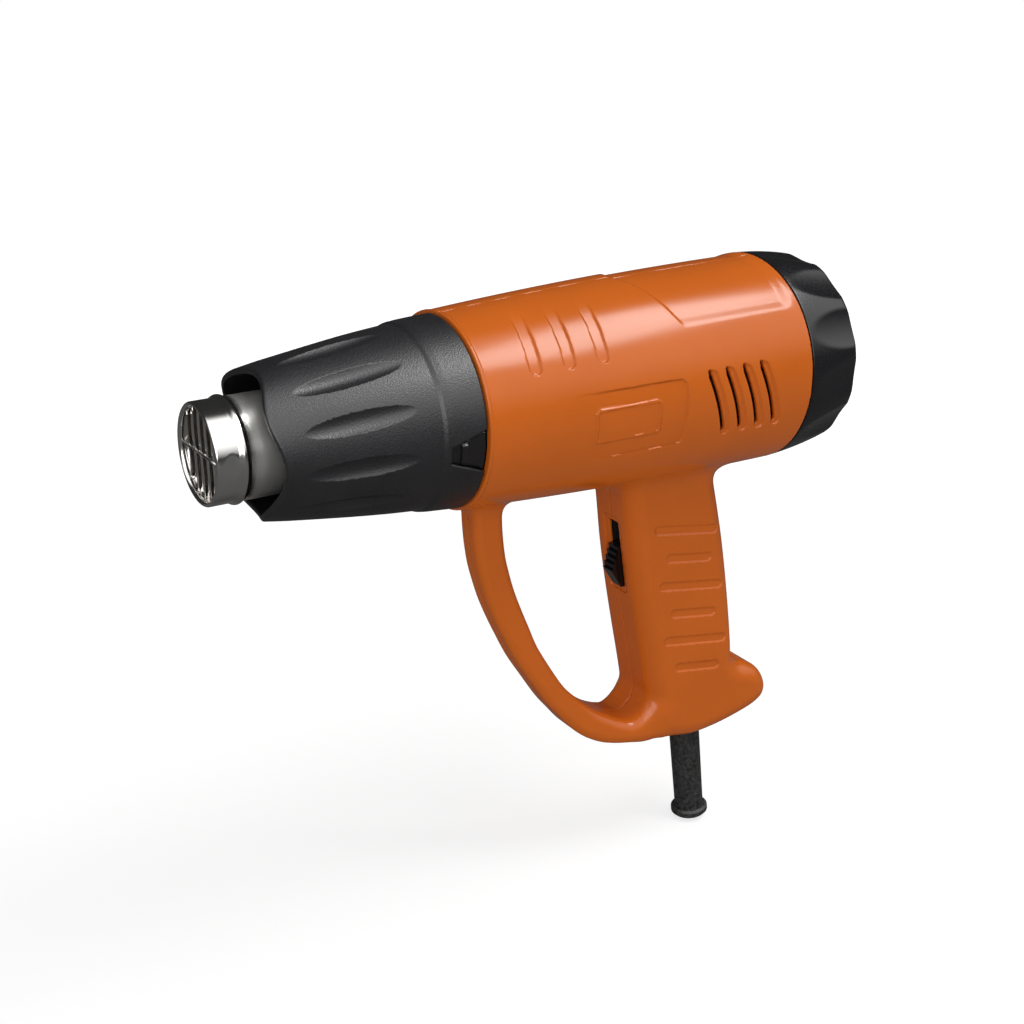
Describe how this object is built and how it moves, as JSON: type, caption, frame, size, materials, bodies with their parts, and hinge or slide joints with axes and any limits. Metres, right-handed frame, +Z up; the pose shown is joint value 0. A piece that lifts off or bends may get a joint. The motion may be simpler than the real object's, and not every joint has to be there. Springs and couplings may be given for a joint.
{
  "type": "hot-air gun",
  "caption": "Pistol hot-air gun for embossing and shrinking, with steel nozzle, pull-off guard, closed D-handle, slide switch and turning rear intake cap.",
  "frame": {"origin": "centre of the nozzle's mouth, on the barrel's axis", "axes": "+X along the barrel to the rear, +Z up, handle towards -Z, -Y the left side"},
  "size_m": [0.2587, 0.0808, 0.2399],
  "materials": {
    "orange_plastic": "satin moulded plastic",
    "zinc_steel": "zinc plated",
    "polished_steel": "polished stainless steel",
    "grille_steel": "bright stainless steel",
    "guard_plastic": "matt pebbled black",
    "collar_plastic": "gloss black",
    "mica": "pressed mica sheet",
    "resistance_wire": "heat-tinted resistance wire",
    "cutout_metal": "plain",
    "duct_plastic": "glass-filled black plastic",
    "ferrite": "sintered ferrite",
    "bronze": "sintered bronze",
    "shaft_steel": "ground",
    "lamination_steel": "stacked laminations",
    "copper": "turned copper",
    "fan_plastic": "moulded nylon",
    "circuit_board": "paper laminate board",
    "grille_plastic": "matt black",
    "cap_plastic": "semi-gloss black",
    "switch_plastic": "matt black",
    "switch_gloss": "gloss black",
    "relief_rubber": "mottled black rubber",
    "block_plastic": "natural nylon"
  },
  "bodies": {
    "housing": {"housing_left": "orange_plastic", "housing_right": "orange_plastic", "housing_screws": "zinc_steel", "nozzle_tube": "polished_steel", "nozzle_grille": "grille_steel", "guard_collar": "collar_plastic", "heater_tube": "mica", "heater_former": "mica", "heating_coil": "resistance_wire", "heater_flange": "zinc_steel", "thermal_cutout": "cutout_metal", "fan_duct": "duct_plastic", "motor_can": "zinc_steel", "motor_magnets": "ferrite", "motor_end_bell": "duct_plastic", "motor_bushes": "bronze", "rectifier_board": "circuit_board", "intake_grille": "grille_plastic", "pivot_screw": "zinc_steel", "switch_body": "switch_plastic", "strain_relief": "relief_rubber", "terminal_block": "block_plastic", "cord_clamp": "zinc_steel", "clamp_screws": "zinc_steel"},
    "guard": {"nozzle_guard": "guard_plastic"},
    "cap": {"rear_cap": "cap_plastic"},
    "slider": {"switch_slider": "switch_gloss"},
    "rotor": {"motor_shaft": "shaft_steel", "armature": "lamination_steel", "commutator": "copper", "fan": "fan_plastic"}
  },
  "joints": [
    {"name": "guard_pull", "type": "slide", "parent": "housing", "child": "guard", "axis": [-1, 0, 0], "range_m": [0, 0.09]},
    {"name": "cap_turn", "type": "hinge", "parent": "housing", "child": "cap", "pos_m": [0.2475, 0, 0], "axis": [1, 0, 0], "range_deg": [0, 15]},
    {"name": "switch_slide", "type": "slide", "parent": "housing", "child": "slider", "axis": [-0.1409, 0, 0.99], "range_m": [0, 0.01]},
    {"name": "rotor_spin", "type": "hinge", "parent": "housing", "child": "rotor", "pos_m": [0.18, 0, 0], "axis": [1, 0, 0], "continuous": true}
  ]
}
